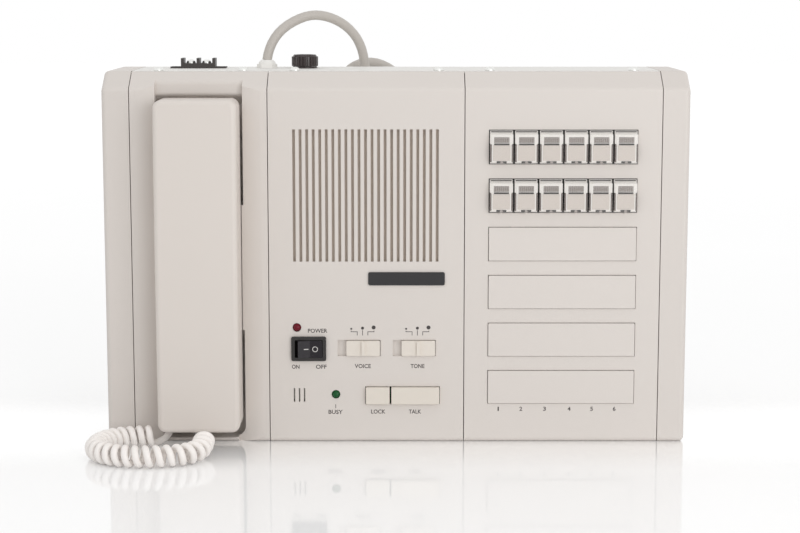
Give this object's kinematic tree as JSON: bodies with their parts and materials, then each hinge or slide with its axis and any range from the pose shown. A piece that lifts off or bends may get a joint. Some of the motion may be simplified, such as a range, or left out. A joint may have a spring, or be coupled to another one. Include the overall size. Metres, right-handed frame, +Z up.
{
  "type": "intercom console",
  "caption": "Desktop intercom console on its edge, with a cradled handset, speaker grille, lamps, switches, selector keys and two cords.",
  "frame": {"origin": "middle of the standing face, midway between the two end faces and between the front and back edges of the case's bottom", "axes": "+X to the right seen from the front, +Y from the front to the back, +Z up"},
  "size_m": [0.3573, 0.2916, 0.2638],
  "materials": {
    "housing": "satin",
    "end_cap": "satin",
    "sheet_metal": "satin",
    "plate": "satin",
    "handset": "satin",
    "cord": "satin",
    "cable": "satin",
    "clear_plug": "gloss",
    "jack": "satin",
    "key": "satin",
    "wide_key": "satin",
    "slider": "satin",
    "switch_body": "satin",
    "rocker": "satin",
    "red_lens": "gloss",
    "green_lens": "gloss",
    "board": "satin",
    "speaker": "matte",
    "cloth": "matte",
    "black_rubber": "matte",
    "steel": "satin",
    "capsule": "satin",
    "terminal": "satin",
    "fuse_black": "satin",
    "gland": "satin",
    "hook": "satin"
  },
  "bodies": {
    "case": {"left_end_cap": "end_cap", "right_end_cap": "end_cap", "cradle_cover": "housing", "speaker_cover": "housing", "selector_cover": "housing", "chassis": "sheet_metal", "rubber_feet": "black_rubber", "case_screws": "steel", "board_screws": "steel", "loudspeaker": "speaker", "grille_cloth": "cloth", "speaker_clamps": "steel", "microphone_capsule": "capsule", "microphone_boot": "black_rubber", "amplifier_board": "board", "selector_board": "board", "upper_switch_bank": "switch_body", "lower_switch_bank": "switch_body", "power_switch_body": "switch_body", "power_led": "red_lens", "busy_led": "green_lens", "slide_switch_bodies": "switch_body", "key_switch_bodies": "switch_body", "blanking_plates": "plate", "terminal_block": "terminal", "terminal_screws": "steel", "fuse_holder": "fuse_black", "cable_gland": "gland", "station_cable": "cable", "station_cable_coil": "cable", "station_plug": "terminal", "handset_cord": "cord", "cradle_plug": "clear_plug", "cradle_jack": "jack", "hook_switch": "switch_body"},
    "handset": {"handset_shell": "handset", "handset_back": "handset", "receiver_capsule": "capsule", "transmitter_capsule": "capsule", "handset_jack": "jack", "handset_plug": "clear_plug"},
    "hook": {"hook_plunger": "hook"},
    "rocker": {"power_rocker": "rocker"},
    "voice_knob": {"voice_slider": "slider"},
    "tone_knob": {"tone_slider": "slider"},
    "lock_button": {"lock_key": "wide_key"},
    "talk_button": {"talk_key": "wide_key"},
    "fuse_knob": {"fuse_cap": "fuse_black"},
    "selector_01": {"selector_key_01": "key"},
    "selector_02": {"selector_key_02": "key"},
    "selector_03": {"selector_key_03": "key"},
    "selector_04": {"selector_key_04": "key"},
    "selector_05": {"selector_key_05": "key"},
    "selector_06": {"selector_key_06": "key"},
    "selector_07": {"selector_key_07": "key"},
    "selector_08": {"selector_key_08": "key"},
    "selector_09": {"selector_key_09": "key"},
    "selector_10": {"selector_key_10": "key"},
    "selector_11": {"selector_key_11": "key"},
    "selector_12": {"selector_key_12": "key"}
  },
  "joints": [
    {"name": "handset_lift", "type": "slide", "parent": "case", "child": "handset", "axis": [0, -0.866, 0.5], "range_m": [0, 0.08]},
    {"name": "hook_travel", "type": "slide", "parent": "case", "child": "hook", "axis": [0, -1, 0], "range_m": [0, 0.003]},
    {"name": "power_rocker_tilt", "type": "hinge", "parent": "case", "child": "rocker", "pos_m": [-0.0527, -0.022, 0.0576], "axis": [0, 0, 1], "range_deg": [-14, 0]},
    {"name": "voice_slide", "type": "slide", "parent": "case", "child": "voice_knob", "axis": [1, 0, 0], "range_m": [-0.005, 0]},
    {"name": "tone_slide", "type": "slide", "parent": "case", "child": "tone_knob", "axis": [1, 0, 0], "range_m": [-0.005, 0]},
    {"name": "lock_press", "type": "slide", "parent": "case", "child": "lock_button", "axis": [0, 1, 0], "range_m": [0, 0.002], "stiffness_N_per_m": 250, "springref_m": -0.002},
    {"name": "talk_press", "type": "slide", "parent": "case", "child": "talk_button", "axis": [0, 1, 0], "range_m": [0, 0.002], "stiffness_N_per_m": 250, "springref_m": -0.002},
    {"name": "fuse_cap_turn", "type": "hinge", "parent": "case", "child": "fuse_knob", "pos_m": [-0.0567, 0.032, 0.225], "axis": [0, 0, 1], "range_deg": [0, 60]},
    {"name": "selector_press_01", "type": "slide", "parent": "case", "child": "selector_01", "axis": [0, 1, 0], "range_m": [0, 0.0025], "stiffness_N_per_m": 250, "springref_m": -0.002},
    {"name": "selector_press_02", "type": "slide", "parent": "case", "child": "selector_02", "axis": [0, 1, 0], "range_m": [0, 0.0025], "stiffness_N_per_m": 250, "springref_m": -0.002},
    {"name": "selector_press_03", "type": "slide", "parent": "case", "child": "selector_03", "axis": [0, 1, 0], "range_m": [0, 0.0025], "stiffness_N_per_m": 250, "springref_m": -0.002},
    {"name": "selector_press_04", "type": "slide", "parent": "case", "child": "selector_04", "axis": [0, 1, 0], "range_m": [0, 0.0025], "stiffness_N_per_m": 250, "springref_m": -0.002},
    {"name": "selector_press_05", "type": "slide", "parent": "case", "child": "selector_05", "axis": [0, 1, 0], "range_m": [0, 0.0025], "stiffness_N_per_m": 250, "springref_m": -0.002},
    {"name": "selector_press_06", "type": "slide", "parent": "case", "child": "selector_06", "axis": [0, 1, 0], "range_m": [0, 0.0025], "stiffness_N_per_m": 250, "springref_m": -0.002},
    {"name": "selector_press_07", "type": "slide", "parent": "case", "child": "selector_07", "axis": [0, 1, 0], "range_m": [0, 0.0025], "stiffness_N_per_m": 250, "springref_m": -0.002},
    {"name": "selector_press_08", "type": "slide", "parent": "case", "child": "selector_08", "axis": [0, 1, 0], "range_m": [0, 0.0025], "stiffness_N_per_m": 250, "springref_m": -0.002},
    {"name": "selector_press_09", "type": "slide", "parent": "case", "child": "selector_09", "axis": [0, 1, 0], "range_m": [0, 0.0025], "stiffness_N_per_m": 250, "springref_m": -0.002},
    {"name": "selector_press_10", "type": "slide", "parent": "case", "child": "selector_10", "axis": [0, 1, 0], "range_m": [0, 0.0025], "stiffness_N_per_m": 250, "springref_m": -0.002},
    {"name": "selector_press_11", "type": "slide", "parent": "case", "child": "selector_11", "axis": [0, 1, 0], "range_m": [0, 0.0025], "stiffness_N_per_m": 250, "springref_m": -0.002},
    {"name": "selector_press_12", "type": "slide", "parent": "case", "child": "selector_12", "axis": [0, 1, 0], "range_m": [0, 0.0025], "stiffness_N_per_m": 250, "springref_m": -0.002}
  ],
  "couplings": [
    {"joint": "hook_travel", "follows": "handset_lift", "ratio": 0.0375}
  ]
}
